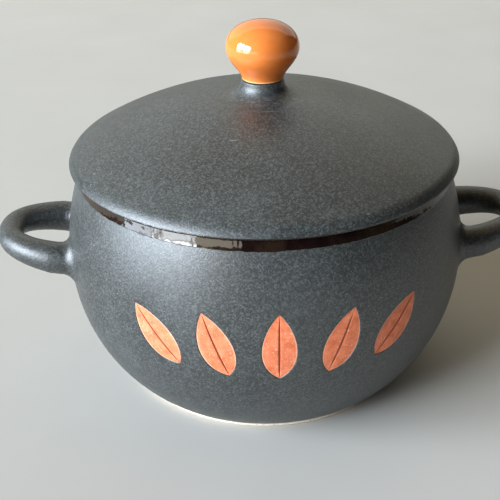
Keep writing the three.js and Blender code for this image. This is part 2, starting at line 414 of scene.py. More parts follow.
@dataclass(frozen=True)
class GlazeEdge:
    """The level, slightly ragged line where a glaze stops on a turned wall."""

    height: float
    softness: float = 0.12 * MM
    raggedness: float = 0.9 * MM
    wave: float = 3.5 * MM

    def above(self, tree: bpy.types.NodeTree, place: bpy.types.NodeSocket) -> bpy.types.NodeSocket:
        """Draws the line.

        Args:
            tree: the material's node tree.
            place: the piece's Object coordinates.

        Returns:
            A mask that is 1 above the line and 0 below it.
        """
        level = add_node(tree, "SeparateXYZ", None, {0: place}).outputs["Z"]
        wander = add_node(tree, "TexNoise", None, {"Vector": place, "Scale": 1 / self.wave, "Detail": 3.0})
        shift = add_node(tree, "MapRange", None, {
            VALUE: wander.outputs["Fac"], TO_MIN: -self.raggedness / 2, TO_MAX: self.raggedness / 2,
        })
        ragged = add_node(tree, "Math", None, {0: level, 1: shift.outputs[0]})
        return add_node(tree, "MapRange", {"interpolation_type": "SMOOTHSTEP"}, {
            VALUE: ragged.outputs[0],
            FROM_MIN: self.height - self.softness, FROM_MAX: self.height + self.softness,
        }).outputs[0]


@dataclass(frozen=True)
class BowlFinish(Finish):
    """The bowl's finish: satin glaze inside and out, a glossy band at the rim and a bare foot ring."""

    satin: SatinGlaze
    rim: GlossGlaze
    clay: BareClay
    rim_edge: GlazeEdge
    foot_edge: GlazeEdge

    def draw(self, tree: bpy.types.NodeTree, place: bpy.types.NodeSocket) -> Surface:
        """Draws the three finishes, one above the other.

        Args:
            tree: the material's node tree.
            place: the piece's Object coordinates.

        Returns:
            The three as one surface.
        """
        satin = self.satin.draw(tree, place)
        glazed = lay_over(tree, satin, self.rim.draw(tree, place), self.rim_edge.above(tree, place))
        return lay_over(tree, self.clay.draw(tree, place), glazed, self.foot_edge.above(tree, place))


@dataclass(frozen=True)
class EdgedFinish(Finish):
    """A glaze with another one along its lower edge."""

    glaze: Finish
    lower: Finish
    edge: GlazeEdge

    def draw(self, tree: bpy.types.NodeTree, place: bpy.types.NodeSocket) -> Surface:
        """Draws the glaze and its lower edge.

        Args:
            tree: the material's node tree.
            place: the piece's Object coordinates.

        Returns:
            The two as one surface.
        """
        lower = self.lower.draw(tree, place)
        glaze = self.glaze.draw(tree, place)
        return lay_over(tree, lower, glaze, self.edge.above(tree, place))


@dataclass(frozen=True)
class InlayGlaze(Finish):
    """Matte orange glaze brushed into a leaf: mottled, dusted with pale grains, paler at its outline."""

    deep: str = "#d0643a"
    bright: str = "#ee8a60"
    edge: str = "#f3c2a6"
    vein: str = "#8d3d20"
    dust: str = "#f6d9c8"
    mottle_size: float = 3.2 * MM
    mottle_range: tuple[float, float] = (0.32, 0.68)
    grain_size: float = 0.7 * MM
    grain_depth: float = 0.05 * MM
    dust_range: tuple[float, float] = (0.62, 0.75)
    dust_strength: float = 0.6
    edge_share: float = 0.10
    edge_strength: float = 0.7
    vein_share: float = 0.045
    smooth: float = 0.48
    rough: float = 0.68

    def draw(self, tree: bpy.types.NodeTree, place: bpy.types.NodeSocket) -> Surface:
        """Draws the glaze. The leaf's UV map runs across the leaf in U and along it in V.

        Args:
            tree: the material's node tree.
            place: the piece's Object coordinates.

        Returns:
            The glaze as a surface.
        """
        mottle = add_node(tree, "TexNoise", None, {
            "Vector": place, "Scale": 1 / self.mottle_size, "Detail": 4.0, "Roughness": 0.65,
        }).outputs["Fac"]
        grain = add_node(tree, "TexNoise", None, {
            "Vector": place, "Scale": 1 / self.grain_size, "Detail": 2.0,
        }).outputs["Fac"]
        deepest, brightest = self.mottle_range
        share = add_node(tree, "MapRange", None, {
            VALUE: mottle, FROM_MIN: deepest, FROM_MAX: brightest,
        }).outputs[0]
        colour = add_node(tree, "Mix", MIX_COLOUR, {
            MIX_SHARE: share, COLOUR_A: linear(self.deep), COLOUR_B: linear(self.bright),
        }).outputs[COLOUR_OUT]
        faint, full = self.dust_range
        dust = add_node(tree, "MapRange", None, {
            VALUE: grain, FROM_MIN: faint, FROM_MAX: full, TO_MAX: self.dust_strength,
        }).outputs[0]
        colour = add_node(tree, "Mix", MIX_COLOUR, {
            MIX_SHARE: dust, COLOUR_A: colour, COLOUR_B: linear(self.dust),
        }).outputs[COLOUR_OUT]
        chart = add_node(tree, "UVMap", {"uv_map": LEAF_CHART}).outputs["UV"]
        across = add_node(tree, "SeparateXYZ", None, {0: chart}).outputs["X"]
        offset = add_node(tree, "Math", {"operation": "SUBTRACT"}, {0: across, 1: 0.5}).outputs[0]
        offset = add_node(tree, "Math", {"operation": "ABSOLUTE"}, {0: offset}).outputs[0]
        rim = add_node(tree, "MapRange", None, {
            VALUE: offset, FROM_MIN: 0.5 - self.edge_share / 2, FROM_MAX: 0.5, TO_MAX: self.edge_strength,
        }).outputs[0]
        colour = add_node(tree, "Mix", MIX_COLOUR, {
            MIX_SHARE: rim, COLOUR_A: colour, COLOUR_B: linear(self.edge),
        }).outputs[COLOUR_OUT]
        rib = add_node(tree, "MapRange", None, {
            VALUE: offset, FROM_MIN: self.vein_share, FROM_MAX: self.vein_share / 3,
        }).outputs[0]
        colour = add_node(tree, "Mix", MIX_COLOUR, {
            MIX_SHARE: rib, COLOUR_A: colour, COLOUR_B: linear(self.vein),
        }).outputs[COLOUR_OUT]
        roughness = add_node(tree, "MapRange", None, {
            VALUE: mottle, TO_MIN: self.smooth, TO_MAX: self.rough,
        }).outputs[0]
        height = add_node(tree, "Math", {"operation": "MULTIPLY"}, {0: grain, 1: self.grain_depth})
        return Surface(colour, roughness, height.outputs[0], self.ior)


def make_piece(bm: bmesh.types.BMesh, name: str, sharp_angle: float = SHARP_ANGLE) -> bpy.types.Object:
    """Turns a bmesh into a smooth-shaded object at the origin.

    Args:
        bm: the shape, which is freed.
        name: the object's name.
        sharp_angle: the angle past which an edge stays sharp.

    Returns:
        The object, linked into the scene.
    """
    mesh = bpy.data.meshes.new(name)
    bm.to_mesh(mesh)
    bm.free()
    mesh.shade_smooth()
    mesh.set_sharp_from_angle(angle=sharp_angle)
    piece = bpy.data.objects.new(name, mesh)
    bpy.context.scene.collection.objects.link(piece)
    return piece


def hand_over(piece: bpy.types.Object, body: Body, slot: Slot, node: str) -> None:
    """Hands a finished piece to the frame and reports it.

    Args:
        piece: the piece.
        body: the body that it moves with.
        slot: the record's slot for its finish; not used.
        node: the solid that it stands for.
    """
    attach(piece, body.value)
    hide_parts(node)
    LOG.info("%s: %d faces, rides on %s", piece.name, len(piece.data.polygons), body.value)


class Section:
    """A half section beside the Z axis, drawn run by run and then turned into a round mesh."""

    def __init__(self, radius: float, height: float) -> None:
        """Starts the section at a radius and a height."""
        self.points = [Vector((radius, 0.0, height))]

    def line(self, radius: float, height: float, steps: int = 1) -> "Section":
        """Adds a straight run.

        Args:
            radius: the radius that it ends at.
            height: the height that it ends at.
            steps: how many equal steps it is cut into.

        Returns:
            The section.
        """
        start = self.points[-1]
        end = Vector((radius, 0.0, height))
        self.points += [start.lerp(end, i / steps) for i in range(1, steps + 1)]
        return self

    def arc(self, centre: tuple[float, float], semi: tuple[float, float], start: float, end: float,
            steps: int) -> "Section":
        """Adds a stretch of an ellipse.

        Args:
            centre: its centre, as a radius and a height.
            semi: its semi-axes across and up.
            start: the angle that it starts at, from straight out.
            end: the angle that it ends at.
            steps: how many steps it is cut into.

        Returns:
            The section.
        """
        for i in range(steps + 1):
            turn = start + (end - start) * i / steps
            radius = centre[0] + semi[0] * math.cos(turn)
            self.points.append(Vector((radius, 0.0, centre[1] + semi[1] * math.sin(turn))))
        return self

    def bend(self, centre: tuple[float, float], radius: float, start: float, end: float,
             steps: int) -> "Section":
        """Adds a stretch of a circle, with its angles taken as an arc's are."""
        return self.arc(centre, (radius, radius), start, end, steps)

    def bezier(self, first: tuple[float, float], second: tuple[float, float], end: tuple[float, float],
               steps: int) -> "Section":
        """Adds a cubic curve.

        Args:
            first: the control point near its start, as a radius and a height.
            second: the control point near its end.
            end: where it ends.
            steps: how many steps it is cut into.

        Returns:
            The section.
        """
        start = self.points[-1]
        corners = [start] + [Vector((radius, 0.0, height)) for radius, height in (first, second, end)]
        for i in range(1, steps + 1):
            self.points.append(bezier_point(corners, i / steps))
        return self

    def turned(self, steps: int) -> bmesh.types.BMesh:
        """Turns the section about the Z axis.

        Args:
            steps: how many steps the full turn is cut into.

        Returns:
            A closed mesh with its faces pointing out.
        """
        bm = bmesh.new()
        verts = [bm.verts.new(point) for point in self.points]
        edges = [bm.edges.new(pair) for pair in zip(verts, verts[1:])]
        bmesh.ops.spin(bm, geom=verts + edges, cent=(0, 0, 0), axis=(0, 0, 1), angle=2 * math.pi, steps=steps,
                       use_merge=True)
        bmesh.ops.remove_doubles(bm, verts=bm.verts, dist=WELD)
        bmesh.ops.recalc_face_normals(bm, faces=bm.faces)
        return bm


def bezier_point(corners: Sequence[Vector], along: float) -> Vector:
    """Gives a point of a cubic curve.

    Args:
        corners: its start, its two control points and its end.
        along: the share of the way along it.

    Returns:
        The point.
    """
    back = 1 - along
    shares = (back ** 3, 3 * back * back * along, 3 * back * along * along, along ** 3)
    return sum((corner * share for corner, share in zip(corners, shares)), Vector((0, 0, 0)))


@dataclass(frozen=True)
class BellyWall:
    """The bowl's outer wall: part of an ellipse from the foot to the widest ring, then a round shoulder."""

    belly_radius: float
    belly_height: float = 50 * MM
    foot_radius: float = 53.3 * MM
    foot_height: float = 1.6 * MM
    sweep: float = math.radians(54)
    shoulder_radius: float = 88 * MM

    @property
    def half_width(self) -> float:
        """The ellipse's semi-axis across."""
        return (self.belly_radius - self.foot_radius) / (1 - math.cos(self.sweep))

    @property
    def half_height(self) -> float:
        """The ellipse's semi-axis up."""
        return (self.belly_height - self.foot_height) / math.sin(self.sweep)

    @property
    def belly_axis(self) -> float:
        """The radius at which the ellipse is centred."""
        return self.belly_radius - self.half_width

    @property
    def shoulder_axis(self) -> float:
        """The radius at which the shoulder is centred."""
        return self.belly_radius - self.shoulder_radius

    def radius(self, height: float, grow: float = 0.0) -> float:
        """Gives the wall's radius.

        Args:
            height: the height to take it at.
            grow: how far outside the wall's surface.

        Returns:
            The radius.
        """
        rise = height - self.belly_height
        if rise > 0:
            return self.shoulder_axis + math.sqrt((self.shoulder_radius + grow) ** 2 - rise ** 2)
        share = rise / (self.half_height + grow)
        return self.belly_axis + (self.half_width + grow) * math.sqrt(max(0.0, 1 - share ** 2))


@dataclass(frozen=True)
class LeafFan:
    """Five leaf-shaped glaze fills, each in a shallow round-edged pocket in the front of the belly."""

    wall: BellyWall
    count: int = 5
    length: float = 25 * MM
    width: float = 11.5 * MM
    stem: tuple[float, float] = (1.45, -0.6)
    tip: tuple[float, float] = (1.2, 0.4)
    spacing: float = math.radians(16.5)
    lean: float = math.radians(20)
    band_height: float = 48 * MM
    recess: float = 0.2 * MM
    fill: float = 0.7 * MM
    pocket_depth: float = 1.2 * MM
    edge_rounding: float = 0.45 * MM
    rounding_steps: int = 4
    overlap: float = 0.05 * MM
    clear_of_wall: float = 3 * MM
    groove_depth: float = 0.3 * MM
    groove_width: float = 0.7 * MM
    columns: int = 20
    rows: int = 44
    # Columns gather towards the midrib, where the groove is.
    gather: float = 1.5

    def point(self, leaf: int, across: float, along: float, depth: float, grow: float) -> Vector:
        """Gives a point of a leaf on the wall.

        Args:
            leaf: the leaf's number in the fan.
            across: from -1 at one side of the outline to 1 at the other.
            along: from 0 at the stem to 1 at the tip.
            depth: how far under the wall's surface.
            grow: how far the outline is widened all round.

        Returns:
            The point.
        """
        half_length = self.length / 2 + grow
        half_width = self.width / 2 + grow
        outline = bezier_point([
            Vector((0, -half_length, 0)),
            Vector((half_width * self.stem[0], half_length * self.stem[1], 0)),
            Vector((half_width * self.tip[0], half_length * self.tip[1], 0)),
            Vector((0, half_length, 0)),
        ], along)
        place = leaf - (self.count - 1) / 2
        flat = Matrix.Rotation(-place * self.lean, 3, "Z") @ Vector((outline.x * across, outline.y, 0))
        height = self.band_height + flat.y
        out = math.sqrt(self.wall.radius(height, -depth) ** 2 - flat.x ** 2)
        return Matrix.Rotation(place * self.spacing, 3, "Z") @ Vector((flat.x, -out, height))

    def sheet(self, leaf: int, depth: float, grow: float) -> bmesh.types.BMesh:
        """Lays a grid over a leaf.

        Args:
            leaf: the leaf's number in the fan.
            depth: how far under the wall's surface it lies.
            grow: how far its outline is widened.

        Returns:
            The grid, with each vertex's place across and along the leaf in two layers.
        """
        bm = bmesh.new()
        across = bm.verts.layers.float.new("across")
        along = bm.verts.layers.float.new("along")
        bmesh.ops.create_grid(bm, x_segments=self.columns, y_segments=self.rows, size=1.0)
        for vert in bm.verts:
            vert[across] = math.copysign(abs(vert.co.x) ** self.gather, vert.co.x)
            vert[along] = 0.5 - 0.5 * math.cos(math.pi * (vert.co.y + 1) / 2)
            vert.co = self.point(leaf, vert[across], vert[along], depth, grow)
        return bm

    def raise_to(self, bm: bmesh.types.BMesh, faces: Sequence[bmesh.types.BMFace], leaf: int,
                 depth: Callable[[float], float], grow: float) -> list[bmesh.types.BMFace]:
        """Extrudes a leaf's faces to another depth.

        Args:
            bm: the leaf's mesh.
            faces: the faces to extrude.
            leaf: the leaf's number in the fan.
            depth: the new depth, by the place across the leaf.
            grow: the new widening of the outline.

        Returns:
            The extruded faces.
        """
        across = bm.verts.layers.float["across"]
        along = bm.verts.layers.float["along"]
        grown = bmesh.ops.extrude_face_region(bm, geom=list(faces))["geom"]
        for item in grown:
            if isinstance(item, bmesh.types.BMVert):
                item.co = self.point(leaf, item[across], item[along], depth(item[across]), grow)
        return [item for item in grown if isinstance(item, bmesh.types.BMFace)]

    def closed(self, bm: bmesh.types.BMesh) -> None:
        """Welds a leaf's two points and turns its faces outwards."""
        bmesh.ops.remove_doubles(bm, verts=bm.verts, dist=WELD)
        bmesh.ops.recalc_face_normals(bm, faces=bm.faces)

    def cutter(self, leaf: int) -> bpy.types.Object:
        """Makes the body that a leaf's pocket is cut with, which flares round at the wall's surface.

        Args:
            leaf: the leaf's number in the fan.

        Returns:
            The body.
        """
        bm = self.sheet(leaf, self.pocket_depth, 0.0)
        faces = bm.faces[:]
        for i in range(self.rounding_steps + 1):
            turn = math.pi / 2 * i / self.rounding_steps
            depth = self.edge_rounding * (1 - math.sin(turn))
            grow = self.edge_rounding * (1 - math.cos(turn))
            raised = self.raise_to(bm, faces, leaf, lambda _, level=depth: level, grow)
            if i:
                bmesh.ops.delete(bm, geom=faces, context="FACES")
            faces = raised
        self.raise_to(bm, faces, leaf, lambda _: -self.clear_of_wall, self.edge_rounding + self.clear_of_wall)
        bmesh.ops.delete(bm, geom=faces, context="FACES")
        self.closed(bm)
        return make_piece(bm, f"leaf_cutter_{leaf + 1}")

    def groove(self, across: float) -> float:
        """Gives the depth of a leaf's face under the wall, with a round groove down its midrib."""
        offset = min(1.0, abs(across) * self.width / self.groove_width)
        return self.recess + self.groove_depth * (0.5 + 0.5 * math.cos(math.pi * offset))

    def build(self, leaf: int) -> bpy.types.Object:
        """Makes one leaf's glaze fill.

        Args:
            leaf: the leaf's number in the fan.

        Returns:
            The fill, with a UV map across and along the leaf.
        """
        bm = self.sheet(leaf, self.recess + self.fill, self.overlap)
        self.raise_to(bm, bm.faces[:], leaf, self.groove, self.overlap)
        chart = bm.loops.layers.uv.new(LEAF_CHART)
        across = bm.verts.layers.float["across"]
        along = bm.verts.layers.float["along"]
        for face in bm.faces:
            for loop in face.loops:
                loop[chart].uv = (0.5 + 0.5 * loop.vert[across], loop.vert[along])
        self.closed(bm)
        return make_piece(bm, f"leaf_inlay_fill_{leaf + 1}")

    def dress(self, fill: bpy.types.Object, glaze: bpy.types.Material, leaf: int) -> None:
        """Glazes a fill and hands it over."""
        fill.data.materials.append(glaze)
        hand_over(fill, Body.BOWL, Slot.ORANGE_INLAY, f"leaf_inlay_{leaf + 1}")


@dataclass(frozen=True)
class Bowl:
    """The round-bellied bowl: foot ring, wall, rounded rim and hollow, with the leaves' pockets in front."""

    wall: BellyWall
    rim_height: float = 85.6 * MM
    thickness: float = 5 * MM
    foot_radius: float = 52.7 * MM
    foot_ring: float = 7 * MM
    foot_edge: float = 0.5 * MM
    recess: float = 1.5 * MM
    floor_height: float = 7 * MM
    floor_flat: float = 34 * MM
    gloss_edge: float = 80.9 * MM
    clay_edge: float = 2.2 * MM
    round_steps: int = 256
    wall_steps: int = 36
    edge_steps: int = 8

    @property
    def rim_rounding(self) -> float:
        """The radius of the rim's half round."""
        return self.thickness / 2

    @property
    def rim_outer(self) -> float:
        """The rim's outer radius, where its half round starts."""
        return self.wall.radius(self.rim_height - self.rim_rounding)

    def section(self) -> Section:
        """Draws the half section from the base's middle, out over the foot, up, over the rim and down inside.

        Returns:
            The section.
        """
        wall = self.wall
        ring = self.foot_radius - self.foot_ring
        rim_start = self.rim_height - self.rim_rounding
        shoulder_sweep = math.asin((rim_start - wall.belly_height) / wall.shoulder_radius)
        rim_inner = self.rim_outer - self.thickness
        inner_shoulder = wall.shoulder_radius - self.thickness
        inner_sweep = math.acos((rim_inner - wall.shoulder_axis) / inner_shoulder)
        hollow = (wall.belly_radius - self.thickness - self.floor_flat, wall.belly_height - self.floor_height)
        section = Section(0.0, self.recess)
        section.line(ring - self.recess, self.recess, self.edge_steps)
        section.line(ring, 0.0, self.edge_steps // 2)
        section.line(self.foot_radius - self.foot_edge, 0.0, self.edge_steps // 2)
        section.bend((self.foot_radius - self.foot_edge, self.foot_edge), self.foot_edge, -math.pi / 2, 0.0,
                     self.edge_steps // 2)
        section.line(self.foot_radius, wall.foot_height)
        section.arc((wall.belly_axis, wall.belly_height), (wall.half_width, wall.half_height),
                    -wall.sweep, 0.0, self.wall_steps)
        section.bend((wall.shoulder_axis, wall.belly_height), wall.shoulder_radius, 0.0, shoulder_sweep,
                     self.wall_steps // 2)
        section.bend((self.rim_outer - self.rim_rounding, rim_start), self.rim_rounding,
                     shoulder_sweep, math.pi, 2 * self.edge_steps)
        section.bend((wall.shoulder_axis, wall.belly_height), inner_shoulder, inner_sweep, 0.0,
                     self.wall_steps // 2)
        section.arc((self.floor_flat, wall.belly_height), hollow, 0.0, -math.pi / 2, self.wall_steps)
        return section.line(0.0, self.floor_height, self.edge_steps)

    def build(self, fan: LeafFan) -> bpy.types.Object:
        """Turns the bowl and cuts the pockets.

        Args:
            fan: the leaves that the pockets are for.

        Returns:
            The bowl.
        """
        bowl = make_piece(self.section().turned(self.round_steps), "bowl_body")
        cutters = [fan.cutter(leaf) for leaf in range(fan.count)]
        for cutter in cutters:
            cut = bowl.modifiers.new(cutter.name, "BOOLEAN")
            cut.operation = "DIFFERENCE"
            cut.solver = "EXACT"
            cut.object = cutter
        solid = bowl.evaluated_get(bpy.context.evaluated_depsgraph_get())
        bowl.data = bpy.data.meshes.new_from_object(solid)
        bowl.modifiers.clear()
        bowl.data.shade_smooth()
        bowl.data.set_sharp_from_angle(angle=SHARP_ANGLE)
        for cutter in cutters:
            bpy.data.objects.remove(cutter)
        return bowl

    def dress(self, bowl: bpy.types.Object, glazes: bpy.types.Material) -> None:
        """Glazes the bowl inside and out and hands it over.

        Args:
            bowl: the bowl.
            glazes: its glazes and its bare clay, as one material.
        """
        bowl.data.materials.clear()
        bowl.data.materials.append(glazes)
        hand_over(bowl, Body.BOWL, Slot.MATTE_BLACK, "bowl")


@dataclass(frozen=True)
class Handle:
    """A loop handle: a round bar bent to a squared half ellipse, luted to the belly with a fillet."""

    wall: BellyWall
    side: Side
    tip: float
    span: float = 36.5 * MM
    height: float = 53.4 * MM
    tilt: float = math.radians(9.3)
    tip_thickness: float = 9.2 * MM
    root_thickness: float = 13.8 * MM
    inset: float = 10 * MM
    squareness: float = 0.84
    fillet: float = 3.8 * MM
    start: float = 4.5 * MM
    sunk: float = 0.5 * MM
    sides: int = 40
    rings: int = 72
    fillet_rings: int = 8
    search: float = 30 * MM
    halvings: int = 40
    sharp_angle: float = math.radians(70)

    @property
    def reach(self) -> float:
        """How far the bar's centre line goes out from its inset ends, in the handle's own tilted plane."""
        return (self.tip - self.tip_thickness / 2 - self.wall.belly_radius) / math.cos(self.tilt) + self.inset

    def centre(self, turn: float) -> Vector:
        """Gives a point of the bar's centre line, in the handle's own plane.

        Args:
            turn: a quarter turn back at one root, 0 at the tip and a quarter turn on at the other root.

        Returns:
            The point, out along X and across along Y.
        """
        out = abs(math.cos(turn)) ** self.squareness
        across = math.copysign(abs(math.sin(turn)) ** self.squareness, turn)
        return Vector((self.reach * out - self.inset, self.span / 2 * across, 0.0))

    def thickness(self, out: float) -> float:
        """Gives the bar's thickness at a distance out from the belly."""
        share = (out + self.inset) / self.reach
        return self.root_thickness + (self.tip_thickness - self.root_thickness) * share

    def placed(self, point: Vector) -> Vector:
        """Puts a point of the handle's own plane in its place beside the bowl.

        Args:
            point: the point, out along X, across along Y and up from the plane along Z.

        Returns:
            The point in the frame.
        """
        tilted = Matrix.Rotation(-self.tilt, 3, "Y") @ point
        beside = tilted + Vector((self.wall.belly_radius, 0.0, self.height))
        return Matrix.Rotation(self.side.value, 3, "Z") @ beside

    def bar_ring(self, turn: float) -> Callable[[float], Vector]:
        """Gives the ring of the bar at a place on its centre line.

        Args:
            turn: the place, as for the centre line.

        Returns:
            The ring, as a function of the angle round the bar.
        """
        centre = self.centre(turn)
        nudge = 1e-4
        ahead = (self.centre(turn + nudge) - self.centre(turn - nudge)).normalized()
        inward = Vector((-ahead.y, ahead.x, 0.0))
        radius = self.thickness(centre.x) / 2
        return lambda angle: self.placed(
            centre + inward * (radius * math.cos(angle)) + Vector((0, 0, radius * math.sin(angle))))

    def root_ring(self, end: int, swell: float, clear: float) -> Callable[[float], Vector]:
        """Gives a ring of the fillet at a root, which follows the curve of the belly.

        Args:
            end: -1 for the root that the sweep starts at, 1 for the one that it ends at.
            swell: how much wider than the bar the ring is.
            clear: how far outside the belly's surface the ring lies.

        Returns:
            The ring, as a function of the angle round the bar.
        """
        radius = self.thickness(self.start) / 2 + swell
        across = self.centre(end * self.end_turn()).y

        def ring(angle: float) -> Vector:
            """Gives one point of the ring, found by halving along the bar's direction.

            Args:
                angle: the angle round the bar.

            Returns:
                The point.
            """
            side = across - end * radius * math.cos(angle)
            low, high = -self.search, self.search
            for _ in range(self.halvings):
                middle = (low + high) / 2
                point = self.placed(Vector((middle, side, radius * math.sin(angle))))
                outside = point.xy.length > self.wall.radius(point.z, clear)
                low, high = (low, middle) if outside else (middle, high)
            return self.placed(Vector((middle, side, radius * math.sin(angle))))

        return ring

    def end_turn(self) -> float:
        """Gives the turn at which the bar's own rings stop and the fillet starts."""
        return math.acos(((self.start + self.inset) / self.reach) ** (1 / self.squareness))

    def build(self) -> bpy.types.Object:
        """Sweeps the bar from one fillet, round the loop, to the other.

        Returns:
            The handle.
        """
        end_turn = self.end_turn()
        fillets = []
        for i in range(self.fillet_rings + 1):
            turn = math.pi / 2 * i / self.fillet_rings
            fillets.append((self.fillet * (1 - math.cos(turn)), self.fillet * (1 - math.sin(turn))))
        fillets.append((self.fillet + self.sunk, -self.sunk))
        rings = [self.root_ring(-1, swell, clear) for swell, clear in reversed(fillets)]
        rings += [self.bar_ring(end_turn * (2 * i / self.rings - 1)) for i in range(self.rings + 1)]
        rings += [self.root_ring(1, swell, clear) for swell, clear in fillets]
        return make_piece(self.swept(rings), f"handle_{self.side.name.lower()}_loop", self.sharp_angle)

    def swept(self, rings: Sequence[Callable[[float], Vector]]) -> bmesh.types.BMesh:
        """Extrudes a circle ring by ring and closes both ends.

        Args:
            rings: each ring, as a function of the angle round the bar.

        Returns:
            The bar.
        """
        bm = bmesh.new()
        angle = bm.verts.layers.float.new("angle")
        verts = bmesh.ops.create_circle(bm, segments=self.sides, radius=1.0)["verts"]
        for vert in verts:
            vert[angle] = math.atan2(vert.co.y, vert.co.x)
        edges = bm.edges[:]
        first = edges
        for number, ring in enumerate(rings):
            if number:
                grown = bmesh.ops.extrude_edge_only(bm, edges=edges)["geom"]
                verts = [item for item in grown if isinstance(item, bmesh.types.BMVert)]
                fresh = set(verts)
                edges = [item for item in grown
                         if isinstance(item, bmesh.types.BMEdge) and fresh.issuperset(item.verts)]
            for vert in verts:
                vert.co = ring(vert[angle])
        bmesh.ops.edgeloop_fill(bm, edges=first)
        bmesh.ops.edgeloop_fill(bm, edges=edges)
        bmesh.ops.recalc_face_normals(bm, faces=bm.faces)
        return bm

    def dress(self, handle: bpy.types.Object, glaze: bpy.types.Material) -> None:
        """Glazes the handle and hands it over."""
        handle.data.materials.append(glaze)
        hand_over(handle, Body.BOWL, Slot.MATTE_BLACK, f"handle_{self.side.name.lower()}")


@dataclass(frozen=True)
class Lid:
    """The loose lid: a dome that rolls into a round lip, a locating flange below, a flared neck on top."""

    radius: float
    neck_top: float
    flange_bottom: float
    seat_height: float = 85.9 * MM
    rise: float = 22.6 * MM
    thickness: float = 5 * MM
    lip_rounding: float = 8 * MM
    lip_lean: float = math.radians(28)
    lip_edge: float = 0.8 * MM
    flange_outer: float = 60.9 * MM
    flange_width: float = 4 * MM
    flange_rounding: float = 1.2 * MM
    neck_radius: float = 7.7 * MM
    neck_flare: float = 7.4 * MM
    neck_rounding: float = 0.5 * MM
    round_steps: int = 256
    dome_steps: int = 40
    edge_steps: int = 8

    @property
    def lip_reach(self) -> float:
        """The distance between the centres of the lip's roll and of its lower edge's rounding."""
        return self.lip_rounding - self.lip_edge

    @property
    def lip_axis(self) -> float:
        """The radius at which the lip's roll is centred."""
        return self.radius - self.lip_edge - self.lip_reach * math.cos(self.lip_lean)

    @property
    def lip_height(self) -> float:
        """The height at which the lip's roll is centred."""
        return self.seat_height + self.lip_edge - self.lip_reach * math.sin(self.lip_lean)

    @property
    def dome_radius(self) -> float:
        """The dome's radius, which makes it run smoothly into the lip."""
        drop = self.seat_height + self.rise - self.lip_height
        return (self.lip_axis ** 2 + drop ** 2 - self.lip_rounding ** 2) / (2 * (drop - self.lip_rounding))

    @property
    def dome_centre(self) -> float:
        """The height of the dome's centre."""
        return self.seat_height + self.rise - self.dome_radius

    def section(self) -> Section:
        """Draws the half section from the underside's middle, over flange and lip, up the dome to the neck.

        Returns:
            The section.
        """
        centre = self.dome_centre
        inside = self.dome_radius - self.thickness
        flange_inner = self.flange_outer - self.flange_width
        flange_angle = math.acos(flange_inner / inside)
        lip_angle = math.atan2(self.lip_height - centre, self.lip_axis)
        neck_foot = self.neck_radius + self.neck_flare
        neck_angle = math.acos(neck_foot / self.dome_radius)
        neck_rise = self.neck_top - centre - self.dome_radius * math.sin(neck_angle)
        edge = self.flange_rounding
        section = Section(0.0, centre + inside)
        section.bend((0.0, centre), inside, math.pi / 2, flange_angle, self.dome_steps)
        section.line(flange_inner, self.flange_bottom + edge, self.edge_steps // 2)
        section.bend((flange_inner + edge, self.flange_bottom + edge), edge, math.pi, 1.5 * math.pi,
                     self.edge_steps)
        section.bend((self.flange_outer - edge, self.flange_bottom + edge), edge, -math.pi / 2, 0.0,
                     self.edge_steps)
        section.line(self.flange_outer, self.seat_height, self.edge_steps // 2)
        section.bend((self.radius - self.lip_edge, self.seat_height + self.lip_edge), self.lip_edge,
                     -math.pi / 2, self.lip_lean, self.edge_steps)
        section.bend((self.lip_axis, self.lip_height), self.lip_rounding, self.lip_lean, lip_angle,
                     2 * self.edge_steps)
        section.bend((0.0, centre), self.dome_radius, lip_angle, neck_angle, self.dome_steps)
        section.arc((neck_foot, self.neck_top - self.neck_rounding),
                    (self.neck_flare, neck_rise - self.neck_rounding),
                    -math.pi / 2, -math.pi, 2 * self.edge_steps)
        section.bend((self.neck_radius - self.neck_rounding, self.neck_top - self.neck_rounding),
                     self.neck_rounding, 0.0, math.pi / 2, self.edge_steps // 2)
        return section.line(0.0, self.neck_top, self.edge_steps // 2)

    def zone(self, centre: Vector) -> LidZone:
        """Says which zone of the lid a face is in.

        Args:
            centre: the middle of the face.

        Returns:
            The zone.
        """
        if centre.z < self.flange_bottom + self.flange_rounding:
            return LidZone.FLANGE_RING
        from_centre = math.hypot(centre.xy.length, centre.z - self.dome_centre)
        under_dome = from_centre < self.dome_radius - self.thickness / 2
        within_flange = centre.xy.length < self.flange_outer - self.flange_width / 2
        return LidZone.UNDER_DOME if under_dome and within_flange else LidZone.OUTSIDE

    def build(self) -> bpy.types.Object:
        """Turns the lid.

        Returns:
            The lid, with the faces of its underside in their own materials.
        """
        bm = self.section().turned(self.round_steps)
        for face in bm.faces:
            face.material_index = self.zone(face.calc_center_median()).value
        return make_piece(bm, "lid_dome")

    def dress(self, lid: bpy.types.Object, outside: bpy.types.Material, liner: bpy.types.Material,
              clay: bpy.types.Material) -> None:
        """Glazes the lid and hands it over.

        Args:
            lid: the lid.
            outside: the glazes of its outside, with painted shade in the rim's dark gloss along the lip's
                lower edge.
            liner: the glaze under the dome.
            clay: the bare clay under the flange.
        """
        for material in (outside, liner, clay):
            lid.data.materials.append(material)
        hand_over(lid, Body.LID, Slot.MATTE_BLACK, "lid")


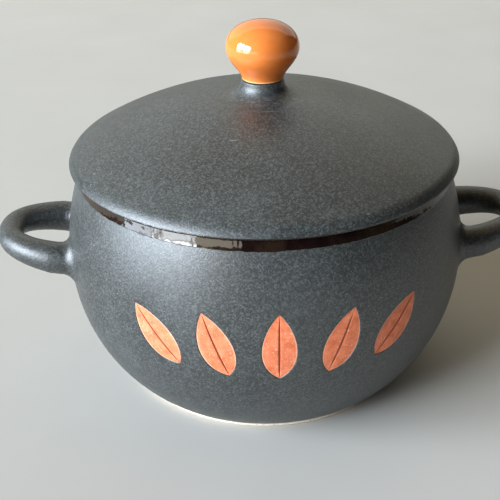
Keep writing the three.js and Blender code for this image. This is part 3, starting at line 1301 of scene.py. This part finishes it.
@dataclass(frozen=True)
class Knob:
    """The ball knob: a flattened top, a round flank that draws in to its base, and a spigot into the neck."""

    radius: float
    base: float
    top: float
    base_radius: float = 7.5 * MM
    widest: float = 11.2 * MM
    base_spread: float = 0.5 * MM
    base_pull: float = 0.31
    flank_pull: float = 0.4
    top_fullness: float = 0.6
    base_rounding: float = 0.35 * MM
    spigot_radius: float = 6.2 * MM
    spigot_length: float = 0.5 * MM
    thin_edge: float = 0.6 * MM
    round_steps: int = 128
    flank_steps: int = 24

    def section(self) -> Section:
        """Draws the half section from under the spigot, up the flank and over the top.

        Returns:
            The section.
        """
        widest = self.base + self.widest
        section = Section(0.0, self.base - self.spigot_length)
        section.line(self.spigot_radius, self.base - self.spigot_length)
        section.line(self.spigot_radius, self.base)
        section.bend((self.base_radius - self.base_rounding, self.base + self.base_rounding),
                     self.base_rounding, -math.pi / 2, 0.0, self.flank_steps // 4)
        section.bezier((self.base_radius + self.base_spread, self.base + self.widest * self.base_pull),
                       (self.radius, widest - self.widest * self.flank_pull), (self.radius, widest),
                       self.flank_steps)
        return section.bezier((self.radius, widest + (self.top - widest) * self.top_fullness),
                              (self.radius * self.top_fullness, self.top), (0.0, self.top), self.flank_steps)

    def build(self) -> bpy.types.Object:
        """Turns the knob."""
        return make_piece(self.section().turned(self.round_steps), "knob_ball")

    def dress(self, knob: bpy.types.Object, glaze: bpy.types.Material) -> None:
        """Glazes the knob and hands it over."""
        knob.data.materials.append(glaze)
        hand_over(knob, Body.LID, Slot.ORANGE_GLOSS, "knob")


@dataclass(frozen=True)
class Lamp:
    """A soft rectangular studio lamp that faces the bowl, in one piece or divided into panes like a window.

    The bars between panes have a width in metres, and the transom is at a share of the lamp's height.
    """

    name: str
    bearing: float
    elevation: float
    distance: float
    width: float
    height: float
    power: float
    colour: str
    panes: int = 1
    bar: float = 0.28
    transom: float = 0.34
    lower_level: float = 0.4

    def draw_panes(self, light: bpy.types.Light) -> None:
        """Divides the lamp's face into window panes, with a dimmer row along the bottom.

        Args:
            light: the lamp's light.
        """
        light.use_nodes = True
        tree = light.node_tree
        place = add_node(tree, "NewGeometry").outputs["Parametric"]
        face = add_node(tree, "SeparateXYZ", None, {0: place})
        half_pane = 0.5 / self.panes
        column = add_node(tree, "Math", {"operation": "PINGPONG"}, {0: face.outputs["X"], 1: half_pane})
        # A bar is dark up to a quarter of its width from its middle, and fades out by half its width.
        pane = add_node(tree, "MapRange", None, {
            VALUE: column.outputs[0],
            FROM_MIN: self.bar / self.width / 4, FROM_MAX: self.bar / self.width / 2,
        }).outputs[0]
        above = add_node(tree, "Math", {"operation": "SUBTRACT"}, {
            0: face.outputs["Y"], 1: self.transom,
        }).outputs[0]
        row = add_node(tree, "Math", {"operation": "ABSOLUTE"}, {0: above}).outputs[0]
        row = add_node(tree, "MapRange", None, {
            VALUE: row, FROM_MIN: self.bar / self.height / 4, FROM_MAX: self.bar / self.height / 2,
        }).outputs[0]
        level = add_node(tree, "MapRange", None, {
            VALUE: above, FROM_MIN: -WELD, FROM_MAX: WELD, TO_MIN: self.lower_level, TO_MAX: 1.0,
        }).outputs[0]
        glass = add_node(tree, "Math", {"operation": "MULTIPLY"}, {0: pane, 1: row}).outputs[0]
        strength = add_node(tree, "Math", {"operation": "MULTIPLY"}, {0: glass, 1: level}).outputs[0]
        tree.links.new(strength, tree.nodes["Emission"].inputs["Strength"])

    def build(self, target: Vector) -> None:
        """Hangs the lamp.

        Args:
            target: the point that it faces.
        """
        light = bpy.data.lights.new(self.name, "AREA")
        light.shape = "RECTANGLE"
        light.size = self.width
        light.size_y = self.height
        light.energy = self.power
        light.color = linear(self.colour)[:3]
        if self.panes > 1:
            self.draw_panes(light)
        lamp = bpy.data.objects.new(self.name, light)
        toward = heading(self.bearing, self.elevation)
        lamp.location = target + toward * self.distance
        lamp.rotation_euler = toward.to_track_quat("Z", "Y").to_euler()
        bpy.context.scene.collection.objects.link(lamp)


@dataclass(frozen=True)
class FloorFinish(Finish):
    """Pale matte board under the bowl."""

    tone: str = "#c3bfb8"
    shade: str = "#bab6ae"
    mottle_size: float = 60 * MM
    mottle_depth: float = 0.01 * MM
    smooth: float = 0.7
    rough: float = 0.8
    ior: float = 1.1

    def draw(self, tree: bpy.types.NodeTree, place: bpy.types.NodeSocket) -> Surface:
        """Draws the board.

        Args:
            tree: the material's node tree.
            place: the floor's Object coordinates.

        Returns:
            The board as a surface.
        """
        mottle = add_node(tree, "TexNoise", None, {
            "Vector": place, "Scale": 1 / self.mottle_size, "Detail": 3.0,
        }).outputs["Fac"]
        colour = add_node(tree, "Mix", MIX_COLOUR, {
            MIX_SHARE: mottle, COLOUR_A: linear(self.tone), COLOUR_B: linear(self.shade),
        })
        roughness = add_node(tree, "MapRange", None, {
            VALUE: mottle, TO_MIN: self.smooth, TO_MAX: self.rough,
        })
        height = add_node(tree, "Math", {"operation": "MULTIPLY"}, {0: mottle, 1: self.mottle_depth})
        return Surface(colour.outputs[COLOUR_OUT], roughness.outputs[0], height.outputs[0], self.ior)


@dataclass(frozen=True)
class Studio:
    """The pale floor, the soft lamps and the camera at the photograph's viewpoint."""

    target: tuple[float, float, float] = (-5.66 * MM, 0.0, 44.55 * MM)
    bearing: float = math.radians(-2.59)
    elevation: float = math.radians(28.589)
    distance: float = 391.7 * MM
    roll: float = math.radians(-1.051)
    focal_pixels: float = 1009.1
    floor_size: float = 3.2
    world_colour: str = "#d6dadd"
    world_strength: float = 0.03

    def camera(self) -> None:
        """Sets the camera up."""
        data = bpy.data.cameras.new("camera")
        data.sensor_width = SENSOR_WIDTH
        data.lens = self.focal_pixels / IMAGE_SIDE * SENSOR_WIDTH
        camera = bpy.data.objects.new("camera", data)
        back = heading(self.bearing, self.elevation)
        right = Vector((0.0, 0.0, 1.0)).cross(back).normalized()
        up = back.cross(right)
        turned_right = right * math.cos(self.roll) + up * math.sin(self.roll)
        turned_up = up * math.cos(self.roll) - right * math.sin(self.roll)
        axes = Matrix((turned_right, turned_up, back)).transposed()
        camera.matrix_world = Matrix.Translation(Vector(self.target) + back * self.distance) @ axes.to_4x4()
        bpy.context.scene.collection.objects.link(camera)
        bpy.context.scene.camera = camera

    def floor(self) -> None:
        """Lays the floor under the bowl."""
        bm = bmesh.new()
        bmesh.ops.create_grid(bm, x_segments=2, y_segments=2, size=self.floor_size / 2)
        floor = make_piece(bm, "floor")
        floor.data.materials.append(FloorFinish().material("pale_board"))

    def lights(self) -> None:
        """Lights the bowl by a paned window and a low wall at the left, a wall behind and a ceiling."""
        world = bpy.data.worlds.new("studio")
        bpy.context.scene.world = world
        world.use_nodes = True
        backdrop = world.node_tree.nodes["Background"]
        backdrop.inputs["Color"].default_value = linear(self.world_colour)
        backdrop.inputs["Strength"].default_value = self.world_strength
        lamps = (
            Lamp("window_left", bearing=math.radians(-67), elevation=math.radians(14), distance=6.0,
                 width=5.4, height=4.3, power=2060.0, colour="#e4f1ff", panes=2),
            Lamp("wall_left", bearing=math.radians(-42), elevation=math.radians(5), distance=6.0,
                 width=5.5, height=1.1, power=80.0, colour="#efe9d8"),
            Lamp("wall_back", bearing=math.radians(180), elevation=math.radians(32), distance=1.5,
                 width=3.2, height=1.5, power=13.5, colour="#fefff3"),
            Lamp("ceiling", bearing=math.radians(180), elevation=math.radians(75), distance=1.5,
                 width=3.0, height=1.6, power=5.5, colour="#ffe4b4"),
        )
        for lamp in lamps:
            lamp.build(Vector(self.target))


def main() -> None:
    """Builds the studio and the pieces in order."""
    logging.basicConfig(level=logging.INFO, format="%(name)s: %(message)s")
    bpy.context.scene.view_settings.view_transform = "Standard"
    studio = Studio()
    studio.camera()
    studio.floor()
    studio.lights()

    satin = SatinGlaze()
    rim = GlossGlaze(deep="#140909", thin="#372a1b", ripple_size=2.6 * MM, ripple_depth=0.16 * MM, run=2.0,
                     ior=1.55)
    clay = BareClay()
    satin_glaze = satin.material("satin_black_glaze")
    liner_glaze = GlossGlaze().material("gloss_brown_liner")
    bare_clay = clay.material("bare_stoneware")

    wall = BellyWall(belly_radius=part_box("bowl")[1].x)
    fan = LeafFan(wall)
    bowl = Bowl(wall)
    foot_edge = GlazeEdge(bowl.clay_edge, raggedness=0.5 * MM)
    bowl_finish = BowlFinish(satin, rim, clay, GlazeEdge(bowl.gloss_edge), foot_edge)
    bowl.dress(bowl.build(fan), bowl_finish.material("bowl_glazes"))
    inlay_glaze = InlayGlaze().material("matte_orange_inlay")
    for leaf in range(fan.count):
        fan.dress(fan.build(leaf), inlay_glaze, leaf)
    for side in Side:
        handle = Handle(wall, side, tip=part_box("handle_right")[1].x)
        handle.dress(handle.build(), satin_glaze)

    low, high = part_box("lid")
    lid = Lid(radius=high.x, neck_top=high.z, flange_bottom=low.z)
    # Painted shade: the rim's dark gloss along the lid's lower edge stands in for the shadow line under the
    # lid's overhang.
    lid_glaze_and_painted_shade = EdgedFinish(satin, rim, GlazeEdge(lid.seat_height + lid.lip_edge, raggedness=0.3 * MM))
    lid.dress(lid.build(), lid_glaze_and_painted_shade.material("lid_glaze_with_painted_shade"), liner_glaze, bare_clay)
    low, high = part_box("knob")
    knob = Knob(radius=high.x, base=low.z, top=high.z)
    orange = GlossGlaze(deep="#d87432", thin="#e2813f", pool_size=14 * MM)
    thin_orange = GlossGlaze(deep="#eda25c", thin="#f6c68c")
    knob_finish = EdgedFinish(orange, thin_orange, GlazeEdge(knob.base + knob.thin_edge, raggedness=0.5 * MM))
    knob.dress(knob.build(), knob_finish.material("gloss_orange_glaze"))


if __name__ == "__main__":
    main()
